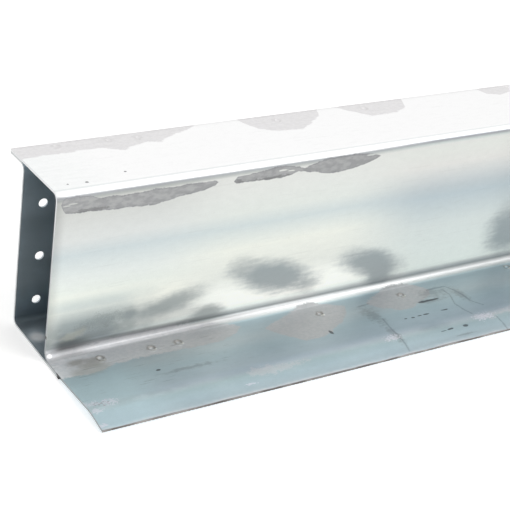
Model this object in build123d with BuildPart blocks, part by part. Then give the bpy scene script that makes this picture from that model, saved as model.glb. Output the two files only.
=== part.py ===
from build123d import *
from math import atan2, cos, sin
import os

# Steel box lintel for a solid wall, pressed from two galvanised sheets that are spot welded
# together. It lies on its base plate. X runs along the lintel, Y from the front flange to the
# rear lip, and Z up. The origin is at the middle of the footprint, on the floor.
# Lengths are in millimetres.

# Overall sizes
length = 1200.0
height = 154.0
sheet = 2.0

# Widths across the section, from the rear lip to the tip of the front flange
lip_width = 25.0
box_width = 63.0
flange_width = 104.0

# The top plate falls this much from the web to the rear lip
top_fall = 2.5

# Inside radii of the four main press brake bends
top_bend_radius = 5.5
foot_bend_radius = 6.5
base_bend_radius = 5.0
lip_bend_radius = 5.0

# The base plate runs on under the front flange, and is welded to it there
base_lap = 26.0

# Beyond the lap the flange lifts a little, and its outer strip is turned down as a drip edge
flange_lift = 3.2
drip_width = 22.0
drip_fall = 3.4
flange_bow_radius = 40.0

# Column of punched holes in the back plate, at each end of the lintel
hole_diameter = 8.0
hole_end_distance = 19.0
hole_heights = (20.5, 63.0, 112.5)
punch_overrun = 1.0

# Places across the section that follow from the sizes above
overall_depth = lip_width + box_width + flange_width
lip_edge = overall_depth / 2
back_face = lip_edge - lip_width
web_face = back_face - box_width
flange_tip = web_face - flange_width
lap_edge = web_face - base_lap
drip_bend = flange_tip + drip_width
near_end = -length / 2

section_plane = Plane.YZ.offset(near_end)

# Slope of the top plate, and how far down and in its plies step at that slope
top_slope = atan2(top_fall, lip_width + box_width)
ply_drop = sheet / cos(top_slope)
ply_step = sheet * sin(top_slope)


def top_level(place):
    return height - top_fall * (place - web_face) / (lip_width + box_width)


# Front plate: rear lip, top plate, web and front flange, pressed from one sheet.
# Its line is drawn along the upper and outer face, and the sheet lies inside that line.
flange_top = 2 * sheet
drip_top = flange_top + flange_lift
tip_top = drip_top - drip_fall
outer_top_radius = top_bend_radius + sheet

with BuildPart() as front_plate:
    with BuildSketch(section_plane):
        with BuildLine():
            FilletPolyline(
                (lip_edge, top_level(lip_edge)),
                (web_face, height),
                (web_face, flange_top),
                (lap_edge, flange_top),
                (drip_bend, drip_top),
                (flange_tip, tip_top),
                radius=(outer_top_radius, foot_bend_radius, flange_bow_radius, flange_bow_radius),
            )
            offset(amount=sheet, side=Side.LEFT)
        make_face()
    extrude(amount=length)
front_plate.part.label = "front_plate"


# Back plate: flange under the rear lip, back wall and base plate, pressed from one sheet.
# Its line is drawn along the lower and outer face, and the sheet lies inside that line.
under_lip_edge = lip_edge - 2 * ply_step
outer_base_radius = base_bend_radius + sheet

with BuildPart() as back_plate:
    with BuildSketch(section_plane):
        with BuildLine():
            FilletPolyline(
                (under_lip_edge, top_level(under_lip_edge) - 2 * ply_drop),
                (back_face, top_level(back_face) - 2 * ply_drop),
                (back_face, 0),
                (lap_edge, 0),
                radius=(lip_bend_radius, outer_base_radius),
            )
            offset(amount=sheet, side=Side.RIGHT)
        make_face()
    extrude(amount=length)

    # Three round holes in a column, the same at both ends
    punch_depth = sheet + 2 * punch_overrun
    hole_columns = (near_end + hole_end_distance, -near_end - hole_end_distance)
    hole_places = [(column, level) for column in hole_columns for level in hole_heights]
    with BuildSketch(Plane.XZ.offset(-back_face - punch_overrun)):
        with Locations(hole_places):
            Circle(hole_diameter / 2)
    extrude(amount=punch_depth, mode=Mode.SUBTRACT)
back_plate.part.label = "back_plate"


os.makedirs("parts", exist_ok=True)
export_step(front_plate.part, "parts/front_plate.step")
export_step(back_plate.part, "parts/back_plate.step")
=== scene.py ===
# A steel box lintel for a solid wall, pressed from two galvanised sheets that are spot welded
# together at the rear lip and along the foot of the web. It lies on its base plate.
# X runs along the lintel, Y from the front flange to the rear lip, and Z up, in metres.
import math

import bmesh
import bpy
from mathutils import Euler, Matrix, Quaternion, Vector, noise


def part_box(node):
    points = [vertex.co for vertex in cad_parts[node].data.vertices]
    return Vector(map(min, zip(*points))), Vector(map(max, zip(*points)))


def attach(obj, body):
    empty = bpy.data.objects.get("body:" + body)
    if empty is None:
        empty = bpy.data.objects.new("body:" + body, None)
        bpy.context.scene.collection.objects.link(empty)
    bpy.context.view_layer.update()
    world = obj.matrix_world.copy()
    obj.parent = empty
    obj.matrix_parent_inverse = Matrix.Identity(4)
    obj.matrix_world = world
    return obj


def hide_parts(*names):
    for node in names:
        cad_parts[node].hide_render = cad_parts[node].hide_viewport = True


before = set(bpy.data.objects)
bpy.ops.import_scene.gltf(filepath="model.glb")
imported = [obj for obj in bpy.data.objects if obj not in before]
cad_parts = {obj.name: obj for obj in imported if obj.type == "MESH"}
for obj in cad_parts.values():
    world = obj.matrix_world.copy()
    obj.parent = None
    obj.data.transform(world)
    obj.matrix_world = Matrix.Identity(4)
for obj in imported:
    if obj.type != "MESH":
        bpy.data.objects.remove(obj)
bpy.context.view_layer.update()

# The front plate: rear lip, top plate, web and wide front flange, folded from one sheet on a
# press brake. Its outer skin is drawn first, then the four bends, and the sheet's thickness is
# added behind it. The outer strip of the flange is turned down as a drip edge.
mm = 0.001
hair = 0.01 * mm
sheet = 2 * mm
height = 154 * mm
lip_width = 25 * mm
box_width = 63 * mm
top_fall = 2.5 * mm
base_lap = 26 * mm
flange_lift = 3.2 * mm
drip_width = 22 * mm
drip_fall = 3.4 * mm
top_radius = 7.5 * mm
foot_radius = 6.5 * mm
bow_radius = 40 * mm

plate_low, plate_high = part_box("front_plate")
near_end, far_end = plate_low.x, plate_high.x
flange_tip, lip_edge = plate_low.y, plate_high.y
length = far_end - near_end
web_face = lip_edge - lip_width - box_width
lap_edge = web_face - base_lap
drip_bend = flange_tip + drip_width
flange_top = 2 * sheet
drip_top = flange_top + flange_lift
tip_top = drip_top - drip_fall

corners = (
    (lip_edge, height - top_fall), (web_face, height), (web_face, flange_top),
    (lap_edge, flange_top), (drip_bend, drip_top), (flange_tip, tip_top),
)
bends = ((top_radius, 10), (foot_radius, 10), (bow_radius, 2), (bow_radius, 4))

skin = bmesh.new()
outline = [skin.verts.new((near_end, y, z)) for y, z in corners]
folds = [skin.edges.new(pair) for pair in zip(outline, outline[1:])]
drawn = bmesh.ops.extrude_edge_only(skin, edges=folds)["geom"]
far_corners = [part for part in drawn if isinstance(part, bmesh.types.BMVert)]
bmesh.ops.translate(skin, vec=(length, 0, 0), verts=far_corners)
bmesh.ops.recalc_face_normals(skin, faces=skin.faces)
skin.faces.ensure_lookup_table()
if skin.faces[0].normal.z < 0:
    bmesh.ops.reverse_faces(skin, faces=skin.faces)


def runs_along(edge):
    return abs(edge.verts[0].co.x - edge.verts[1].co.x) > hair


def lies_at(edge, corner):
    return all((vert.co.yz - Vector(corner)).length < hair for vert in edge.verts)


for corner, (radius, segments) in zip(corners[1:-1], bends):
    crease = next(edge for edge in skin.edges if lies_at(edge, corner))
    bmesh.ops.bevel(
        skin, geom=[crease], offset=radius * math.tan(crease.calc_face_angle() / 2),
        offset_type="OFFSET", segments=segments, profile=0.5, affect="EDGES", material=-1,
    )

cell = 5 * mm
across = [edge for edge in skin.edges if not runs_along(edge)]
for cells in sorted({round(edge.calc_length() / cell) for edge in across}):
    if cells > 1:
        alike = [edge for edge in across if round(edge.calc_length() / cell) == cells]
        bmesh.ops.subdivide_edges(skin, edges=alike, cuts=cells - 1, use_grid_fill=True)
along = [edge for edge in skin.edges if runs_along(edge)]
bmesh.ops.subdivide_edges(skin, edges=along, cuts=round(length / cell) - 1, use_grid_fill=True)

# The spot welds: a row along the rear lip and a row along the foot of the web, at about the
# same stations, with the far half taken to be like the near one. Each electrode leaves a
# shallow dimple in the sheet with a low ring round it.
flange_welds = [(-558, -8.4), (-511, -9.8), (-485, -10), (-341, -14), (-247, -13), (-108, -5.5)]
lip_welds = [(-563, 88.6), (-516, 87.6), (-489, 86.3), (-350, 83), (-252, 84), (-67, 91)]
near_welds = [(x * mm, y * mm) for x, y in flange_welds + lip_welds]
middle_weld = (0, -9 * mm)
welds = near_welds + [(-x, y) for x, y in near_welds] + [middle_weld]
dimple_radius = 2.4 * mm
dimple_depth = 0.9 * mm
ring_radius = 3.7 * mm
ring_width = 0.9 * mm
ring_height = 0.4 * mm
scorch_radius = 4 * mm
weld_reach = 6 * mm


def weld_distance(point):
    return min(math.hypot(point.x - x, point.y - y) for x, y in welds)


def is_level(part):
    return abs(part.normal.z) > 0.9


around_welds = [
    face for face in skin.faces
    if is_level(face) and weld_distance(face.calc_center_median()) < weld_reach + cell / 2
]
weld_edges = list({edge for face in around_welds for edge in face.edges})
bmesh.ops.subdivide_edges(skin, edges=weld_edges, cuts=6, use_grid_fill=True)
weld_layer = skin.verts.layers.float.new("weld")
for vert in skin.verts:
    away = weld_distance(vert.co)
    if is_level(vert) and away < weld_reach:
        vert[weld_layer] = math.exp(-((away / scorch_radius) ** 2))
        dimple = dimple_depth * math.exp(-((away / dimple_radius) ** 2))
        ring = ring_height * math.exp(-(((away - ring_radius) / ring_width) ** 2))
        vert.co.z += ring - dimple

# A long pressing is never quite flat: the web and the flange wander by a few tenths of a
# millimetre, and most of all along the free edge of the flange. The flange's ends stay true.
web_wander = 0.3 * mm
flange_wander = 0.8 * mm
wander_length = 170 * mm
for vert in skin.verts:
    x, y, z = vert.co
    drift = noise.noise(Vector((x, 2 * y, 2 * z)) / wander_length)
    from_ends = min(1, (x - near_end) / wander_length, (far_end - x) / wander_length)
    if abs(y - web_face) < hair:
        up_web = (z - foot_radius) / (height - foot_radius)
        vert.co.y += web_wander * drift * math.sin(math.pi * up_web)
    elif y < lap_edge:
        out_flange = (lap_edge - y) / (lap_edge - flange_tip)
        vert.co.z += flange_wander * drift * out_flange * from_ends

skin_mesh = bpy.data.meshes.new("front_plate_skin")
skin.to_mesh(skin_mesh)
skin.free()
front_plate = bpy.data.objects.new("front_plate_pressing", skin_mesh)
bpy.context.scene.collection.objects.link(front_plate)
thicken = front_plate.modifiers.new("thickness", "SOLIDIFY")
thicken.thickness = sheet
thicken.offset = -1
thicken.use_even_offset = True
thicken.material_offset = 1
thicken.material_offset_rim = 2
soften = front_plate.modifiers.new("worn edges", "BEVEL")
soften.width = 0.15 * mm
soften.segments = 2
soften.limit_method = "ANGLE"
soften.angle_limit = math.radians(50)


# Its finish is bright zinc from the dipping line, handled and stacked out of doors, with
# reflections and shade painted into its colour. The web is bright with soft dark clouds over the
# foot, part stain and part painted reflection of the flange; the flange is blue grey, darkened
# against the top plate by painted reflection and shade; and pinkish patches with ragged rims are
# left where wet packing lay against the sheet.
class Wire:
    """One output of a shader node. Arithmetic on wires adds Math nodes to the same material."""

    def __init__(self, tree, socket):
        self.tree = tree
        self.socket = socket

    def node(self, kind, inputs, output=0, stops=(), **settings):
        made = self.tree.nodes.new(kind)
        for name, value in settings.items():
            setattr(made, name, value)
        for number, (position, colour) in enumerate(stops):
            elements = made.color_ramp.elements
            element = elements[number] if number < len(elements) else elements.new(position)
            element.position = position
            element.color = (*colour, 1)
        for name, value in inputs.items():
            if isinstance(value, Wire):
                self.tree.links.new(value.socket, made.inputs[name])
            else:
                made.inputs[name].default_value = value
        return Wire(self.tree, made.outputs[output])

    def maths(self, operation, *values):
        return self.node("ShaderNodeMath", dict(enumerate(values)), operation=operation)

    def __add__(self, other):
        return self.maths("ADD", self, other)

    __radd__ = __add__

    def __sub__(self, other):
        return self.maths("SUBTRACT", self, other)

    def __rsub__(self, other):
        return self.maths("SUBTRACT", other, self)

    def __mul__(self, other):
        return self.maths("MULTIPLY", self, other)

    __rmul__ = __mul__

    def vector(self, operation, *values):
        return self.node("ShaderNodeVectorMath", dict(enumerate(values)), operation=operation)

    def tinted(self, shade):
        return self.vector("MULTIPLY", self, shade)

    def larger(self, other):
        return self.maths("MAXIMUM", self, other)

    def along(self, axis):
        return self.node("ShaderNodeSeparateXYZ", {0: self}, output=axis)

    def step(self, low, high):
        """0 at low and 1 at high, smoothly, whichever of them is the larger."""
        inputs = {"Value": self, "From Min": low, "From Max": high}
        return self.node("ShaderNodeMapRange", inputs, interpolation_type="SMOOTHSTEP")

    def noise(self, grain, detail=2, output="Fac"):
        """Noise whose grains are about that size, in mm, along X, Y and Z."""
        scaled = self.vector("MULTIPLY", self, tuple(1 / (size * mm) for size in grain))
        inputs = {"Vector": scaled, "Scale": 1, "Detail": detail}
        return self.node("ShaderNodeTexNoise", inputs, output=output)

    def graded(self, stations):
        """Three values for each station along this length, even between the stations."""
        first, last = stations[0][0], stations[-1][0]
        inputs = {"Value": self, "From Min": first * mm, "From Max": last * mm}
        share = self.node("ShaderNodeMapRange", inputs)
        stops = [((at - first) / (last - first), values) for at, values in stations]
        return self.node("ShaderNodeValToRGB", {"Fac": share}, stops=stops)

    def toned(self, stations):
        """One value for each station along this length."""
        return self.graded([(at, (tone, tone, tone)) for at, tone in stations])

    def band(self, across, stations):
        """How far a place lies inside a patch whose two sides are given at stations on the way.

        A ramp holds nothing below 0, so the sides are lifted while they are in it.
        """
        lift = 200
        sides = [(at, ((low + lift) * mm, (high + lift) * mm, 0)) for at, low, high in stations]
        sides = self.graded(sides)
        across = across + lift * mm
        return self.maths("MINIMUM", sides.along("Y") - across, across - sides.along("X"))

    def blot(self, centre, half):
        """Distance from an oval's centre, 1 on its rim; a half size of 0 leaves that axis out."""
        scale = tuple(1 / (size * mm) if size else 0 for size in half)
        shift = tuple(-middle * mm * factor for middle, factor in zip(centre, scale))
        scaled = self.vector("MULTIPLY_ADD", self, scale, shift)
        return self.node("ShaderNodeVectorMath", {0: scaled}, output="Value", operation="LENGTH")

    def leaning_blot(self, middle_x, middle_z, half_length, half_width, degrees_down):
        """A blot on the web whose long axis falls towards the far end by that angle."""
        inputs = {
            "Vector": self, "Location": (middle_x * mm, 0, middle_z * mm),
            "Rotation": (0, math.radians(degrees_down), 0),
            "Scale": (half_length * mm, 1, half_width * mm),
        }
        turned = self.node("ShaderNodeMapping", inputs, vector_type="TEXTURE")
        return self.node("ShaderNodeVectorMath", {0: turned}, output="Value", operation="LENGTH")

    def web_blots(self, *ovals):
        """The nearest of some ovals on the web, each given by x, z and its half sizes, in mm."""
        return self.nearest([self.blot((x, 0, z), (a, 0, b)) for x, z, a, b in ovals])

    def level_blots(self, *ovals):
        """The nearest of some ovals on a level plate, each given by x, y and its half sizes."""
        return self.nearest([self.blot((x, y, 0), (a, b, 0)) for x, y, a, b in ovals])

    def nearest(self, distances):
        found = distances[0]
        for other in distances[1:]:
            found = self.maths("SMOOTH_MIN", found, other, 1)
        return found

    def mix(self, bare, covered):
        """The second colour where this mask is 1, the first where it is 0."""
        inputs = {0: self, 6: bare, 7: covered}
        return self.node("ShaderNodeMix", inputs, output=2, data_type="RGBA")


def new_finish(name):
    material = bpy.data.materials.new(name)
    material.use_nodes = True
    shader = material.node_tree.nodes["Principled BSDF"]
    coordinates = material.node_tree.nodes.new("ShaderNodeTexCoord")
    return material, shader, Wire(material.node_tree, coordinates.outputs["Object"])


def connect(shader, name, wire):
    wire.tree.links.new(wire.socket, shader.inputs[name])


zinc, zinc_shader, place = new_finish("galvanised_front_skin")
x, y, z = (place.along(axis) for axis in "XYZ")
fine = place.noise((1.7, 0.8, 0.8), 3)
cloudy = place.noise((34, 14, 14), 3)
rag = place.noise((5, 3, 3), 4) - 0.5
wavy = place.noise((16, 9, 9), 5) - 0.5

# the web from its foot up: its left, middle and right parts, and its near end, darker low down.
# These tones carry painted reflections: a dark line above the foot, a bright band low on the web,
# and a grey line and a bright band along the top bend
left_web = z.graded([
    (7, (0.66, 0.68, 0.68)), (8.5, (0.56, 0.58, 0.58)), (11.5, (0.58, 0.6, 0.59)),
    (15, (0.73, 0.76, 0.71)), (19, (1.01, 0.99, 0.91)), (48, (0.92, 0.91, 0.81)),
    (62, (0.77, 0.8, 0.74)), (75, (0.73, 0.76, 0.73)), (97, (0.54, 0.6, 0.61)),
    (110, (0.61, 0.63, 0.62)), (145.5, (0.49, 0.5, 0.48)), (147.5, (0.33, 0.35, 0.34)),
    (149.5, (0.31, 0.32, 0.34)), (151, (0.97, 0.99, 1)), (154, (0.95, 0.96, 0.96)),
])
mid_web = z.graded([
    (7, (0.66, 0.68, 0.68)), (8.5, (0.56, 0.58, 0.58)), (11.5, (0.58, 0.6, 0.59)),
    (15, (0.93, 0.96, 0.9)), (19, (1.06, 1.05, 0.98)), (31, (1, 1, 0.93)), (48, (0.78, 0.79, 0.73)),
    (75, (0.79, 0.8, 0.73)), (97, (0.55, 0.61, 0.61)), (110, (0.63, 0.66, 0.63)),
    (142, (0.61, 0.62, 0.6)), (145.5, (0.59, 0.6, 0.58)), (147.5, (0.4, 0.42, 0.41)),
    (149.5, (0.37, 0.39, 0.41)), (151, (1, 1, 1)), (154, (0.95, 0.96, 0.96)),
])
end_web = z.graded([
    (7, (0.62, 0.64, 0.64)), (11.5, (0.28, 0.31, 0.32)), (15, (0.16, 0.19, 0.2)),
    (22, (0.27, 0.31, 0.32)), (32, (0.32, 0.36, 0.36)), (44, (0.65, 0.68, 0.64)),
    (56, (0.37, 0.47, 0.49)),
])
right_web = z.graded([
    (7, (0.6, 0.63, 0.63)), (8.5, (0.5, 0.53, 0.53)), (11.5, (0.48, 0.51, 0.51)),
    (15, (0.78, 0.83, 0.78)), (60, (0.63, 0.68, 0.66)), (92, (0.42, 0.49, 0.52)),
    (101, (0.43, 0.48, 0.5)), (125, (0.6, 0.6, 0.58)), (142, (0.58, 0.6, 0.57)),
    (146, (0.57, 0.58, 0.56)), (148.5, (0.47, 0.52, 0.51)), (150.5, (0.28, 0.28, 0.31)),
    (152, (0.75, 0.81, 0.82)), (154, (0.95, 0.96, 0.96)),
])
web = x.step(-520 * mm, -430 * mm).mix(left_web, mid_web)
web = x.step(-330 * mm, -215 * mm).mix(web, right_web)
low_end = (x + 30 * mm * wavy).step(-478 * mm, -548 * mm) * z.step(60 * mm, 44 * mm)
low_end = low_end * (1 - 0.25 * x.step(-584 * mm, -600 * mm))
web = (0.97 * low_end).mix(web, end_web)

# mottled dirt and dried mud low down by the near end, and a greyer strip at the cut
dirt = place.noise((14, 8, 9), 5).step(0.42, 0.60) * low_end * z.step(36 * mm, 22 * mm)
web = (0.55 * dirt).mix(web, (0.22, 0.25, 0.24, 1))
splashed = place.leaning_blot(-552, 28, 18, 7, -10) + 2.6 * rag + 3 * (fine - 0.5)
web = (0.34 * splashed.step(1.3, 0.5)).mix(web, (0.20, 0.22, 0.21, 1))
dried_mud = place.leaning_blot(-576, 21, 12, 4, -15) + 1.6 * rag
web = (0.35 * dried_mud.step(1.4, 0.4)).mix(web, (0.46, 0.45, 0.38, 1))
near_edge = x.step(-590 * mm, -600 * mm)
web = web.tinted(1 - 0.22 * near_edge)
web = web.tinted(1 - 0.1 * x.step(-160 * mm, -90 * mm))

# soft dark clouds over the foot, paler ones beside them, and thin ones towards the near end,
# part stain and part painted reflection of the flange in the web
smeared = place.noise((26, 4, 4), 4) - 0.5
clouds = place.nearest([
    place.leaning_blot(-382, 39, 45, 15.5, 17), place.leaning_blot(-273, 33, 36, 13, 15),
    place.leaning_blot(-262, 20, 21, 14, 30), place.leaning_blot(-106, 40, 27, 24, 0),
])
clouds = clouds + 0.6 * smeared + 0.3 * rag + 0.5 * (cloudy - 0.5)
web = (0.86 * clouds.step(1.45, 0.45)).mix(web, (0.255, 0.295, 0.31, 1))
pale_clouds = place.web_blots((-418, 57, 15, 10), (-342, 22, 10, 8), (-98, 66, 24, 14))
pale_clouds = pale_clouds + 0.7 * smeared + 0.4 * rag
web = (0.3 * pale_clouds.step(1.4, 0.5)).mix(web, (0.27, 0.30, 0.305, 1))
veil = place.leaning_blot(-492, 20, 54, 17, 0) + 0.5 * (cloudy - 0.5) + 0.3 * smeared
web = (0.5 * veil.step(1.3, 0.3)).mix(web, (0.40, 0.44, 0.43, 1))
thin_clouds = place.nearest([
    place.leaning_blot(-525, 31, 8, 6, 0), place.leaning_blot(-487, 33, 32, 10.5, -10),
    place.leaning_blot(-448, 15, 17, 8, 0), place.leaning_blot(-458, 9, 30, 5, 0),
])
thin_clouds = thin_clouds + 0.5 * smeared + 0.4 * rag + 0.6 * (cloudy - 0.5)
web = (0.8 * thin_clouds.step(1.5, 0.3)).mix(web, (0.26, 0.29, 0.29, 1))

# the flange, the painted highlight along the bend at its root, and the top plate
# the flange's blue grey zinc, painted darker than the top plate as reflection and shade
flange = (cloudy + 0.3 * rag).step(0.2, 0.8).mix((0.375, 0.475, 0.51, 1), (0.415, 0.515, 0.545, 1))
across_flange = y.graded([
    (-96, (0.99, 0.95, 0.97)), (-85, (1.03, 1.03, 1.05)), (-76, (0.94, 0.95, 0.95)),
    (-70, (0.95, 0.91, 1)), (-62, (0.92, 0.88, 0.93)), (-40, (0.93, 0.92, 0.95)),
    (-25, (1.06, 0.98, 0.98)), (-5, (0.86, 0.86, 0.89)), (3, (0.88, 0.88, 0.88)),
])
flange = flange.tinted(across_flange)
far_strip = x.step(-340 * mm, -230 * mm) * y.step(-52 * mm, -70 * mm)
flange = flange.tinted(1 - 0.07 * far_strip)
flange = (0.8 * x.step(-520 * mm, -565 * mm)).mix(flange, (0.452, 0.575, 0.625, 1))
# a painted highlight along the bend where the flange meets the web
painted_foot_highlight = x.graded([
    (-600, (0.62, 0.62, 0.62)), (-560, (0.34, 0.35, 0.35)), (-500, (0.38, 0.39, 0.39)),
    (-450, (0.45, 0.46, 0.46)), (-400, (0.74, 0.75, 0.75)), (-330, (0.93, 0.95, 0.95)),
    (-140, (0.66, 0.68, 0.68)),
])
flange = y.step(-1 * mm, 5 * mm).mix(flange, painted_foot_highlight)
skin_tone = z.step(6.5 * mm, 8 * mm).mix(flange, web)

# the highlight and the shade that follow the bend at the foot, by the way round it
round_foot = y + z
near_foot = round_foot.toned([
    (-2, 1), (4, 1.24), (7, 0.91), (9, 0.54), (13, 0.65), (17, 0.26), (19, 0.31), (22, 0.49),
    (26, 1),
])
left_foot = round_foot.toned([
    (-2, 1), (8, 1.03), (10, 0.77), (12, 0.99), (13, 0.79), (14, 0.83), (15, 0.72), (16, 0.71),
    (18, 0.5), (20, 0.66), (22, 1.18), (26, 1),
])
mid_foot = round_foot.toned([
    (-4, 1), (2, 1.12), (4, 1.37), (7, 1.08), (9, 0.72), (10, 0.62), (13, 0.67), (15, 1.26),
    (17, 0.64), (19, 0.93), (22, 1.02), (26, 1),
])
far_foot = round_foot.toned([
    (-2, 1), (2, 1.03), (4, 1.24), (8, 0.76), (10, 0.64), (13, 0.78), (15, 0.94), (17, 0.71),
    (19, 0.87), (26, 1),
])
end_foot = round_foot.toned([
    (-2, 1), (9, 0.7), (12, 0.75), (15, 0.6), (22, 1.25), (50, 1),
])
foot_tone = x.step(-599 * mm, -585 * mm).mix(end_foot, near_foot)
foot_tone = x.step(-578 * mm, -552 * mm).mix(foot_tone, left_foot)
foot_tone = x.step(-500 * mm, -410 * mm).mix(foot_tone, mid_foot)
foot_tone = x.step(-380 * mm, -230 * mm).mix(foot_tone, far_foot)

# the top plate painted near white, its colour lifted to the bright light it reflects
top = x.step(-520 * mm, -600 * mm).mix((1.0, 1.0, 1.0, 1), (0.96, 0.975, 0.97, 1))
# a painted grey reflection line along the top bend
painted_bend_reflection = y.step(12.8 * mm, 13.6 * mm) * y.step(15.6 * mm, 14.8 * mm)
top = (0.5 * painted_bend_reflection).mix(top, (0.70, 0.74, 0.74, 1))
on_top = y.step(9 * mm, 14 * mm) * z.step(90 * mm, 100 * mm)
skin_tone = on_top.mix(skin_tone, top)

# dull patches: along the upper web, along the rear lip, round the flange's welds, and near its
# free edge
stain = (0.5 * rag + 0.5 * (fine - 0.5)) * (6 * mm)
web_patch = x.band(z, [
    (-597, 146, 142), (-595, 140.5, 147.5), (-592, 135.4, 149), (-584, 134.9, 149.4),
    (-571, 134.8, 148.4), (-562, 134.3, 145), (-553, 133.2, 146), (-540, 133.4, 144.4),
    (-526, 132, 145), (-514, 131.4, 146), (-501, 133.3, 145.4), (-483, 136, 145.8),
    (-468, 137.7, 145.3), (-457, 140.5, 144.9), (-453, 146, 142), (-441, 143, 139),
    (-437, 139.3, 145.4), (-421, 138.8, 147), (-406, 137.9, 147.9), (-394, 138, 149),
    (-383, 139, 148.2), (-375, 141.5, 146.5), (-369, 140.5, 143.8), (-362, 139.2, 146),
    (-355, 138.1, 148.2), (-346, 135.5, 149.2), (-336, 134.5, 149.4), (-326, 135.3, 149.5),
    (-315, 136.3, 149.9), (-302, 139, 148.6), (-293, 142, 146.6), (-286, 145.5, 143.5),
])
top_patch = x.band(y, [
    (-600, 74, 110), (-567, 75, 110), (-530, 76.4, 110), (-524, 73, 110),
    (-512, 65.7, 110), (-503, 71.3, 110), (-487, 74.4, 110), (-474, 72.2, 110),
    (-463, 79, 110), (-453, 85, 110), (-435, 91, 110), (-424, 98, 96), (-386, 98, 96),
    (-382, 82, 110), (-376, 71.4, 110), (-365, 63.7, 110), (-337, 61, 110),
    (-321, 71.5, 110), (-305, 81, 110), (-297, 98, 96), (-281, 98, 96), (-271, 85.7, 110),
    (-264, 77.4, 110), (-255, 68.2, 110), (-224, 69.2, 110), (-209, 76.7, 110),
    (-199, 98, 96), (-106, 98, 96), (-103, 82, 110), (-90, 77, 110), (-74, 80, 110),
    (-60, 98, 96),
])
flange_patch = x.band(y, [
    (-600, -24, 14), (-576, -25, 14), (-564, -24.5, 13), (-551, -20, 12), (-507, -19, 10),
    (-474, -21, 8), (-445, -20, 6), (-428, -14, 0), (-419, -5, -8), (-405, -10, -30),
    (-401, -19, -16), (-391, -35.4, -12), (-379, -48, -8), (-360, -48.5, 0), (-351, -45, 4),
    (-337, -37, 5.9), (-330, -33, 1), (-318, -23.4, -6), (-309, -9, -11),
    (-292, -10, -20), (-288, -16, -12), (-279, -26, -8), (-264, -36.6, 0), (-252, -35.5, 5),
    (-237, -30, 4), (-227, -26, 1), (-219, -20, -6), (-212, -10, -18),
])
rim_patch = x.band(y, [
    (-470, -60, -90), (-456, -77.6, -75), (-448, -79.5, -68), (-436, -81.5, -70),
    (-420, -81, -72.6), (-408, -78.5, -74), (-392, -75.5, -74), (-385, -60, -90),
    (-318, -60, -90), (-312, -76, -72), (-296, -76, -73), (-290, -60, -90),
    (-216, -60, -90), (-207, -74, -70.6), (-194, -79.9, -70.4), (-182, -77.5, -70.3),
    (-167, -75.7, -68), (-158, -69, -67), (-150, -60, -90),
])
on_web = z.step(9 * mm, 12 * mm)
off_web = 1 - on_web
web_edge = web_patch + 0.8 * stain + 3 * mm * wavy
web_patch = web_edge.step(-0.2 * mm, 0.4 * mm) * y.step(14 * mm, 12 * mm)
top_patch = (top_patch + 1.3 * stain + 7 * mm * wavy).step(-0.9 * mm, 1.2 * mm)
top_patch = top_patch * z.step(140 * mm, 148 * mm)
flange_patch = (flange_patch + 1.9 * stain + 7 * mm * wavy).step(-0.9 * mm, 1.1 * mm) * off_web
rim_patch = (rim_patch + 5 * stain + 6 * mm * wavy).step(-0.3 * mm, 2.4 * mm) * off_web
mottled = place.noise((7, 3.5, 3.5), 4).step(0.35, 0.65)
patch_tone = mottled.mix((0.262, 0.267, 0.272, 1), (0.335, 0.34, 0.342, 1))
patch_tone = (0.7 * web_edge.step(1.3 * mm, 0.2 * mm)).mix(patch_tone, (0.17, 0.17, 0.19, 1))
stained = place.web_blots((-570, 136, 13, 1.6), (-440, 141, 9, 1.6), (-400, 139, 18, 1.6))
stained = (stained + 2.6 * rag + 2 * (fine - 0.5)).step(1.4, 0.7)
patch_tone = (0.6 * stained).mix(patch_tone, (0.12, 0.12, 0.125, 1))
patch_tone = patch_tone.tinted(1 - 0.07 * x.step(-470 * mm, -400 * mm))
slivers = place.web_blots(
    (-566, 147.3, 2.2, 0.8), (-561, 146.3, 3, 0.8), (-374, 148.2, 9, 0.9), (-391, 145, 5, 0.8),
    (-383, 143.5, 4, 0.7), (-299, 147, 5, 0.8), (-592, 142.6, 3, 0.5), (-586, 143.8, 4, 0.5),
)
slivers = (slivers + 1.4 * rag + (fine - 0.5)).step(1.2, 0.8)
skin_tone = (0.97 * web_patch - 0.97 * (slivers * web_patch)).mix(skin_tone, patch_tone)
spongy = place.noise((3.5, 2.6, 2.6), 3).step(0.38, 0.62)
top_tone = spongy.mix((0.785, 0.775, 0.78, 1), (0.82, 0.81, 0.815, 1))
skin_tone = top_patch.mix(skin_tone, top_tone)
flange_tone = spongy.mix((0.44, 0.448, 0.463, 1), (0.478, 0.478, 0.49, 1))
flange_tone = flange_tone.tinted(1 + 0.3 * x.step(-450 * mm, -580 * mm))
near_lilac = x.step(-582 * mm, -594 * mm)
flange_tone = flange_tone.tinted(1 + 0.22 * near_lilac)
skin_tone = (0.92 * flange_patch).mix(skin_tone, flange_tone)
skin_tone = skin_tone.tinted(foot_tone)
skin_tone = (0.4 * rim_patch).mix(skin_tone, (0.62, 0.59, 0.61, 1))

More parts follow.
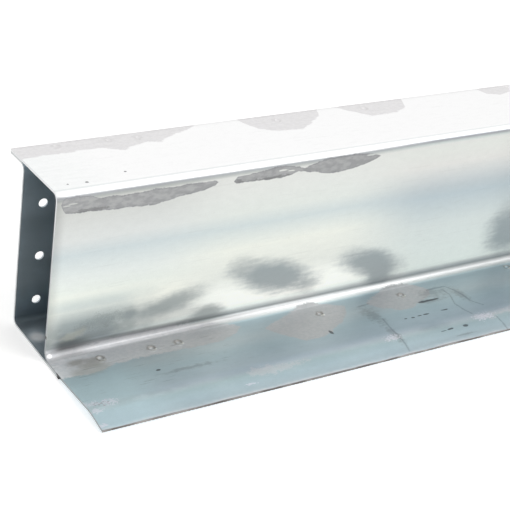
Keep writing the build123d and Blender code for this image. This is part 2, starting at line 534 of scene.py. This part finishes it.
# the brown stain by the first weld, the dark scorch round every weld, and the marks and
# scratches of handling on the flange
brown = place.level_blots((-579, -7, 9, 4), (-565, -10, 9, 5), (-570, -14, 10, 4))
brown = (brown + 0.8 * rag + 0.8 * wavy).step(1.4, 0.3) * off_web
skin_tone = (0.5 * brown).mix(skin_tone, (0.27, 0.25, 0.22, 1))
grime = place.level_blots((-583, -21, 10, 5), (-572, -23, 12, 5), (-563, -19, 9, 5))
grime = (grime + 0.8 * rag + 0.8 * wavy).step(1.4, 0.3) * off_web
skin_tone = (0.46 * grime).mix(skin_tone, (0.37, 0.38, 0.35, 1))
weld = place.node("ShaderNodeAttribute", {}, output="Fac", attribute_name="weld")
scorch = (weld + 0.9 * rag).step(0.15, 0.55) * (weld + 0.5 * rag).step(0.95, 0.6)
skin_tone = (0.6 * scorch * (1 - 0.85 * on_top)).mix(skin_tone, (0.20, 0.18, 0.15, 1))
glints = place.level_blots(*[(x + 1.6, y - 2.2, 2.4, 1.2) for x, y in flange_welds])
skin_tone = (0.7 * (glints + rag).step(1.2, 0.7)).mix(skin_tone, (0.85, 0.85, 0.82, 1))
marks = place.level_blots(
    (-271, -50.3, 1.6, 0.7), (-263, -51, 1.8, 0.8), (-255, -50.5, 2.5, 0.7),
    (-247, -50.4, 3.5, 0.9), (-225, -50.2, 3.5, 0.9), (-250, -80, 3, 0.4),
    (-243, -79.5, 2.4, 0.8), (-224, -79.6, 3, 1.5), (-228, -30.4, 12, 1.3), (-350, -44.3, 1.6, 3),
    (-522, -41.5, 2.2, 1.1), (-240, -79.2, 1.5, 0.8), (-569, 20.8, 1.3, 1),
    (-531, 29.3, 1, 0.9), (-585, 21.9, 0.8, 0.7),
)
marks = (marks + 1.6 * rag).step(1.3, 0.85)

# thin scratches: those across the flange are given along Y, from X = -200 and X = -300 mm
arc = x.band(y, [
    (-220, -30, -40), (-218, -14.8, -13.4), (-206, -13.8, -12.4), (-195, -14.3, -13.7),
    (-193, -30, -40),
])
arc_fall = y.band(x + 200 * mm, [
    (-58, 16, 14), (-56.5, 16.7, 17.3), (-51.7, 13.7, 14.3), (-45, 10.2, 10.8),
    (-33.6, 10.7, 11.3), (-22.5, 8.7, 9.3), (-14, 4.7, 5.3), (-12, 4, 2),
])
inner_fall = y.band(x + 200 * mm, [
    (-67, -4, -6), (-66, -5.3, -4.7), (-57.8, -7.3, -6.7), (-44.6, -8.3, -7.7),
    (-29, -1.3, -0.7), (-18.5, -1.3, -0.7), (-16, -1, -3),
])
seam = y.band(x + 300 * mm, [
    (-95, 0, -2), (-93, 0.7, 1.3), (-83.4, 2.7, 3.3), (-68.7, 3.7, 4.3), (-59.8, 4.7, 5.3),
    (-50.9, 6.7, 7.3), (-42, 8.7, 9.3), (-40, 8, 6),
])
far_seam = y.band(x, [
    (-97, -186.4, -185.8), (-85, -185.4, -184.8), (-77, -185, -184.6), (-75, -184, -186),
])
low_arc = x.band(y, [
    (-302, -15, -17), (-299, -16.2, -15.6), (-287, -15, -14.4), (-284, -14, -17),
])
scratch = arc.larger(low_arc).larger(arc_fall).larger(inner_fall).larger(seam).larger(far_seam)
scratch = 0.34 * (scratch + 0.9 * stain).step(-1.4 * mm, 0.5 * mm) * off_web

# smudges, scrapes, pale scuffs, and the worn free edge
smudges = place.level_blots(
    (-216, -20, 14, 7), (-225, -31, 14, 3), (-190, -32, 5, 13), (-296, -35, 7, 14),
    (-298, -70, 4, 14), (-232, -89.4, 11, 1), (-495, -48, 24, 2.4),
)
smudges = (smudges + 0.9 * smeared + 2.6 * rag).step(1.5, 0.3) * off_web
skin_tone = (0.4 * smudges).mix(skin_tone, (0.17, 0.18, 0.19, 1))
scrapes = place.noise((22, 1.6, 1.6), 4).step(0.62, 0.72) * y.step(-66 * mm, -58 * mm)
scrapes = 0.3 * scrapes * x.step(-420 * mm, -470 * mm) * off_web
dark = (0.8 * marks).larger(scratch).larger(scrapes)
skin_tone = dark.mix(skin_tone, (0.045, 0.05, 0.06, 1))
scuffs = place.level_blots(
    (-593, -65.5, 7, 3.2), (-581, -68.5, 7, 3), (-595, -75, 5, 2.2), (-458, -86, 5, 0.9),
    (-597, -91, 3, 1.4), (-198, -73.5, 9, 4.5), (-304, -73, 7, 3.5),
)
speckled = place.noise((2.2, 1.8, 1.8), 2) - 0.5
scuffs = scuffs + 2 * rag + 5 * speckled
skin_tone = (0.52 * scuffs.step(1.15, 0.75)).mix(skin_tone, (0.72, 0.70, 0.78, 1))
flecks = place.level_blots((-588, -68, 9, 3.4)) + 6 * speckled
skin_tone = (0.5 * flecks.step(0.5, 0.1)).mix(skin_tone, (0.16, 0.16, 0.20, 1))
worn = place.noise((24, 20, 20), 4).step(0.36, 0.62)
burnished = y.step(-95.6 * mm, -95 * mm) * y.step(-93.4 * mm, -94.4 * mm) * worn
skin_tone = (0.45 * burnished).mix(skin_tone, (0.60, 0.57, 0.56, 1))
tip = 0.85 * y.step(-95.2 * mm, -95.7 * mm)
skin_tone = tip.mix(skin_tone, worn.mix((0.40, 0.40, 0.40, 1), (0.15, 0.135, 0.13, 1)))
# a painted white glint on the bend at the foot by the near end
painted_foot_glint = place.blot((-597, 6.3, 6), (2.6, 2.2, 2.2)).step(1.1, 0.5)
skin_tone = (0.8 * painted_foot_glint).mix(skin_tone, (1.0, 1.0, 1.0, 1))

# an even grain and faint strokes over all of it
grain = 0.885 + 0.13 * fine + 0.10 * place.noise((9, 4, 4), 3)
strokes = place.noise((40, 2.2, 2.2), 4).step(0.60, 0.75)
grain = grain - 0.05 * strokes * on_web
skin_tone = skin_tone.tinted(grain)
connect(zinc_shader, "Base Color", skin_tone)
low_web = z.step(85 * mm, 60 * mm) * on_web
connect(zinc_shader, "Metallic", 0.75 - 0.4 * on_web - 0.25 * low_web + 0.5 * on_top)
dull = web_patch + top_patch + flange_patch + rim_patch
connect(zinc_shader, "Roughness", 0.42 - 0.07 * on_web + 0.1 * dull + 0.06 * (cloudy - 0.5))

inner_zinc, inner_shader, inner_place = new_finish("galvanised_inner_skin")
inner_clouds = inner_place.noise((60, 24, 24), 4).step(0.35, 0.65)
inner_tone = inner_clouds.mix((0.41, 0.525, 0.58, 1), (0.47, 0.595, 0.66, 1))
connect(inner_shader, "Base Color", inner_tone)
inner_shader.inputs["Metallic"].default_value = 0.75
inner_shader.inputs["Roughness"].default_value = 0.4

cut_steel, cut_shader, cut_place = new_finish("cut_edge")
cut_tone = cut_place.along("Z").graded([
    (0, (0.32, 0.34, 0.35)), (10, (0.36, 0.39, 0.40)),
    (60, (0.50, 0.52, 0.53)), (100, (0.56, 0.58, 0.59)), (154, (0.76, 0.77, 0.78)),
])
rusty = cut_place.noise((22, 20, 20), 4).step(0.40, 0.62)
tip_tone = rusty.mix((0.30, 0.28, 0.27, 1), (0.10, 0.085, 0.08, 1))
cut_tone = cut_place.along("Y").step(-94 * mm, -95.5 * mm).mix(cut_tone, tip_tone)
# black spots on the near cut end: a notch in the web's edge, and painted shadow in the gap under
# the flange where the base plate ends
notch_and_gap_shadow = cut_place.nearest([
    cut_place.blot((-600, -18, 3), (3, 4, 4)), cut_place.blot((-600, 8, 23), (3, 3, 1.6)),
])
cut_tone = notch_and_gap_shadow.step(1.1, 0.8).mix(cut_tone, (0.03, 0.03, 0.03, 1))
connect(cut_shader, "Base Color", cut_tone)
cut_shader.inputs["Metallic"].default_value = 0.6
cut_shader.inputs["Roughness"].default_value = 0.5

for finish in (zinc, inner_zinc, cut_steel):
    front_plate.data.materials.append(finish)

bpy.context.view_layer.update()
evaluated = front_plate.evaluated_get(bpy.context.evaluated_depsgraph_get())
pressed = bpy.data.meshes.new_from_object(evaluated)
front_plate.modifiers.clear()
front_plate.data = pressed
pressed.shade_smooth()
pressed.set_sharp_from_angle(angle=math.radians(35))
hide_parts("front_plate")
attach(front_plate, "root")

# The back plate: flange under the rear lip, back wall with its punched holes, and base plate,
# folded from the second sheet. It is plain galvanised sheet, seen inside the open end, where
# shade and a pool of light are painted into its colour.
back_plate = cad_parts["back_plate"]
back_zinc, back_shader, back_place = new_finish("galvanised_back_sheet")
back_x, back_y, back_z = (back_place.along(axis) for axis in "XYZ")
inside = back_y.step(70.5 * mm, 69.5 * mm) * back_z.step(1 * mm, 1.8 * mm)
# inside the box the colour is painted darker as shade, deepest low on the wall and on the base by
# the wall
shaded = back_z.graded([
    (1.5, (0.68, 0.76, 0.81)), (4, (0.40, 0.46, 0.50)), (6.5, (0.24, 0.29, 0.33)),
    (20, (0.28, 0.34, 0.38)), (40, (0.41, 0.47, 0.50)), (154, (0.40, 0.46, 0.50)),
])
on_base = back_z.step(8 * mm, 5 * mm)
gloom = 1 - 0.25 * on_base * back_y.step(48 * mm, 62 * mm)
shaded = shaded.tinted(gloom)
back_tone = inside.mix((0.60, 0.65, 0.67, 1), shaded)
# a painted pool of light on the inner base near the open end
painted_light_patch = back_place.blot((-591, 41, 2), (8, 8, 3)).step(1.3, 0.3)
back_tone = (0.9 * painted_light_patch).mix(back_tone, (1.0, 1.0, 1.0, 1))
cut_end = back_x.maths("ABSOLUTE", back_x).step(599.6 * mm, 599.95 * mm)
back_tone = cut_end.mix(back_tone, (0.55, 0.57, 0.58, 1))
# painted black shadow in the gap under the flange, on the end of the base plate
painted_gap_shadow = back_place.blot((-600, -19, 1), (3, 4, 3)).step(1.1, 0.8)
back_tone = painted_gap_shadow.mix(back_tone, (0.03, 0.03, 0.03, 1))
back_clouds = back_place.noise((60, 24, 24), 4).step(0.35, 0.65)
back_grain = 0.91 + 0.12 * back_clouds + 0.06 * back_place.noise((9, 4, 4), 3)
back_tone = back_tone.tinted(back_grain)
connect(back_shader, "Base Color", back_tone)
connect(back_shader, "Metallic", 0.75 - 0.7 * painted_light_patch)
connect(back_shader, "Roughness", 0.37 + 0.06 * back_clouds)
back_plate.material_slots[0].material = back_zinc

# The studio: a white floor that runs out of sight, an even white room, one soft lamp overhead
# and one low in front, and the camera at the photograph's place.
floor_reach = 20
floor_build = bmesh.new()
bmesh.ops.create_grid(floor_build, x_segments=1, y_segments=1, size=floor_reach)
floor_mesh = bpy.data.meshes.new("studio_floor")
floor_build.to_mesh(floor_mesh)
floor_build.free()
floor = bpy.data.objects.new("studio_floor", floor_mesh)
bpy.context.scene.collection.objects.link(floor)

floor_paint, floor_shader, _ = new_finish("studio_floor_white")
floor_shader.inputs["Base Color"].default_value = (0.9, 0.89, 0.875, 1)
floor_shader.inputs["Roughness"].default_value = 1
floor_shader.inputs["Specular IOR Level"].default_value = 0
floor_shader.inputs["Emission Color"].default_value = (1, 1, 1, 1)
floor_shader.inputs["Emission Strength"].default_value = 0.47
floor_mesh.materials.append(floor_paint)

scene = bpy.context.scene
room_level = 0.62
horizon_level = 0.62
room = bpy.data.worlds.new("studio_room")
scene.world = room
room.use_nodes = True
room_tree = room.node_tree
background = room_tree.nodes["Background"]
background.inputs["Color"].default_value = (1, 1, 1, 1)
ray = room_tree.nodes.new("ShaderNodeLightPath")
by_camera = Wire(room_tree, ray.outputs["Is Camera Ray"])
by_gloss = Wire(room_tree, ray.outputs["Is Glossy Ray"])
by_glass = Wire(room_tree, ray.outputs["Is Transmission Ray"])
aim = Wire(room_tree, room_tree.nodes.new("ShaderNodeTexCoord").outputs["Generated"])
lean = 0.4
sky = (aim.along("Z") + lean * aim.along("Y")).step(0.15, 0.7)
sky = horizon_level + (1 - horizon_level) * sky
level = by_camera.larger(by_glass).larger(by_gloss * sky).larger(room_level * (1 - by_gloss))
room_tree.links.new(level.socket, background.inputs["Strength"])

lamp_target = Vector((-0.3, 0, 0.05))
for lamp_name, energy, size, lamp_place in (
    ("overhead_softbox", 25, 1.6, (0.8, -1.0, 2.0)),
    ("front_softbox", 11, 1.2, (-0.2, -2.2, 0.45)),
):
    lamp_data = bpy.data.lights.new(lamp_name, "AREA")
    lamp_data.shape = "SQUARE"
    lamp_data.size = size
    lamp_data.energy = energy
    lamp = bpy.data.objects.new(lamp_name, lamp_data)
    scene.collection.objects.link(lamp)
    lamp.location = lamp_place
    lamp.rotation_mode = "QUATERNION"
    lamp.rotation_quaternion = (lamp_target - lamp.location).to_track_quat("-Z", "Y")

camera_azimuth = math.radians(36.62)
camera_elevation = math.radians(29.0)
camera_roll = math.radians(9.09)
camera_data = bpy.data.cameras.new("studio_camera")
camera_data.sensor_width = 36
camera_data.lens = 98.88
camera = bpy.data.objects.new("studio_camera", camera_data)
scene.collection.objects.link(camera)
scene.camera = camera
camera.location = (-1.0370, -0.8402, 0.6511)
camera.rotation_mode = "QUATERNION"
level_aim = Euler((math.pi / 2 - camera_elevation, 0, -camera_azimuth)).to_quaternion()
camera.rotation_quaternion = level_aim @ Quaternion((0, 0, 1), camera_roll)
scene.view_settings.view_transform = "Standard"

bpy.context.view_layer.update()
